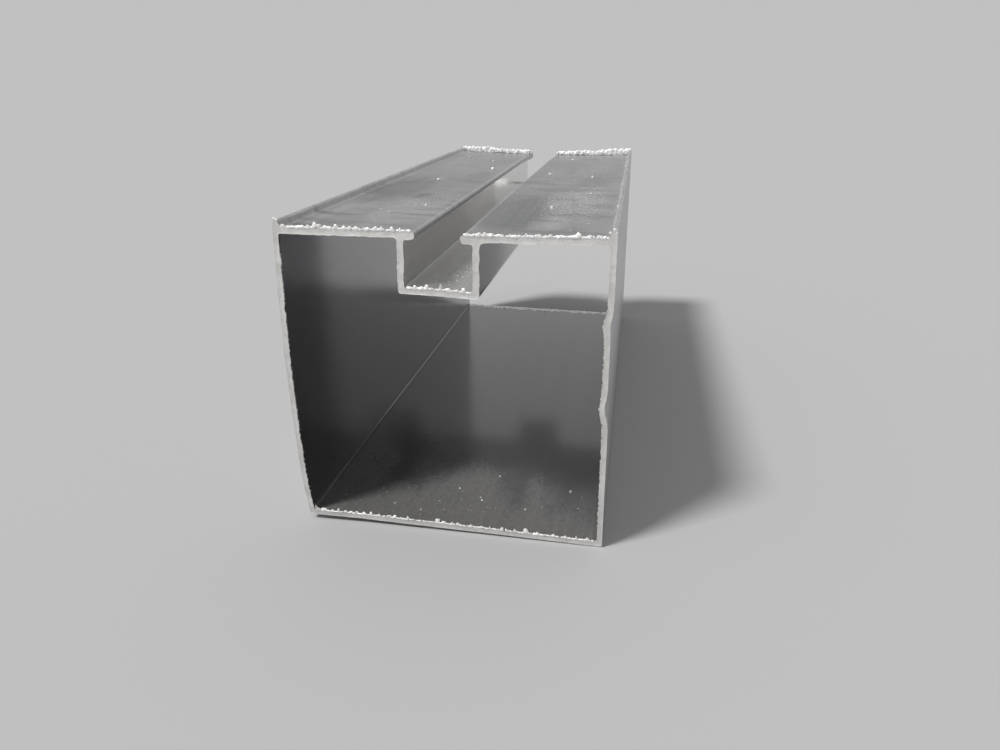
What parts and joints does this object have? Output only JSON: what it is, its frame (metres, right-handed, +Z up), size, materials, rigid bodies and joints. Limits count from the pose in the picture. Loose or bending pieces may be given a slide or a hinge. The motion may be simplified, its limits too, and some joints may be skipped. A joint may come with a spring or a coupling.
{
  "type": "aluminium extrusion offcut",
  "caption": "Short sawn length of thin-walled square hollow extrusion with a lipped channel let into its top and a low ridge along each upper edge.",
  "frame": {"origin": "under the middle of the piece, at the height of the face it lies on", "axes": "+X across the profile, +Y along its length away from the bellied saw cut, +Z up through the slot"},
  "size_m": [0.06, 0.154, 0.0607],
  "materials": {
    "aluminium_stock": "mill finish, smudged and lightly scratched, with rough sawn ends"
  },
  "bodies": {
    "root": {"slotted_box_profile": "aluminium_stock"}
  },
  "joints": []
}
